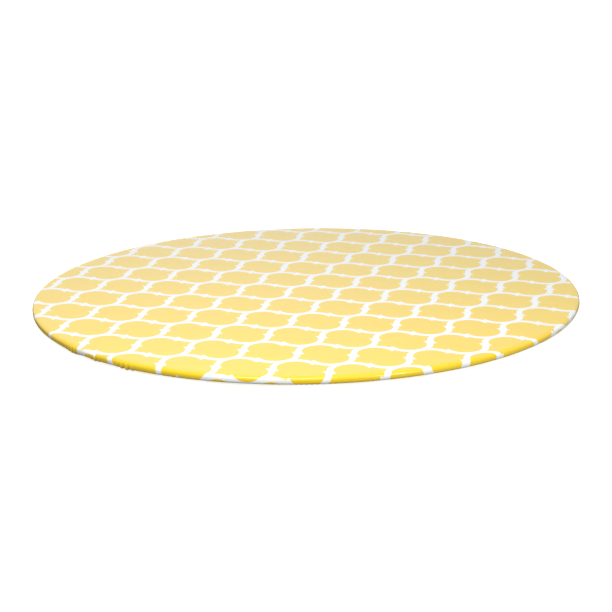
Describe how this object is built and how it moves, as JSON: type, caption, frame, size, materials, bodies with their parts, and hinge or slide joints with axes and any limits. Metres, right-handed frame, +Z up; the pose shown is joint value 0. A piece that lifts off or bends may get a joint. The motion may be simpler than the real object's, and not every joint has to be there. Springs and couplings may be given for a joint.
{
  "type": "round tabletop with fitted cover",
  "caption": "Thin round tabletop in a fitted vinyl cover with a printed lattice, drawn in below by an elastic hem, with threaded inserts for a base.",
  "frame": {"origin": "centre of the underside of the board, where the table's base bolts on", "axes": "+Z up, out of the table surface; +Y points away from the usual viewer; +X to the right"},
  "size_m": [1.2214, 1.2216, 0.0208],
  "materials": {
    "printed_vinyl": "satin print of yellow tiles between white lines",
    "flannel": "brushed white flannel",
    "binding_tape": "woven tape",
    "elastic": "braided over rubber",
    "thread": "polyester sewing thread",
    "top_laminate": "matt laminate",
    "particle_board": "raw particle board",
    "backing_laminate": "plain backing sheet",
    "edge_moulding": "extruded vinyl",
    "zinc_alloy": "bright zinc"
  },
  "bodies": {
    "root": {"cover_face": "printed_vinyl", "cover_backing": "flannel", "hem_binding": "binding_tape", "elastic_cord": "elastic", "hem_stitching": "thread", "top_laminate": "top_laminate", "core_board": "particle_board", "backing_laminate": "backing_laminate", "edge_moulding": "edge_moulding", "threaded_inserts": "zinc_alloy"}
  },
  "joints": []
}
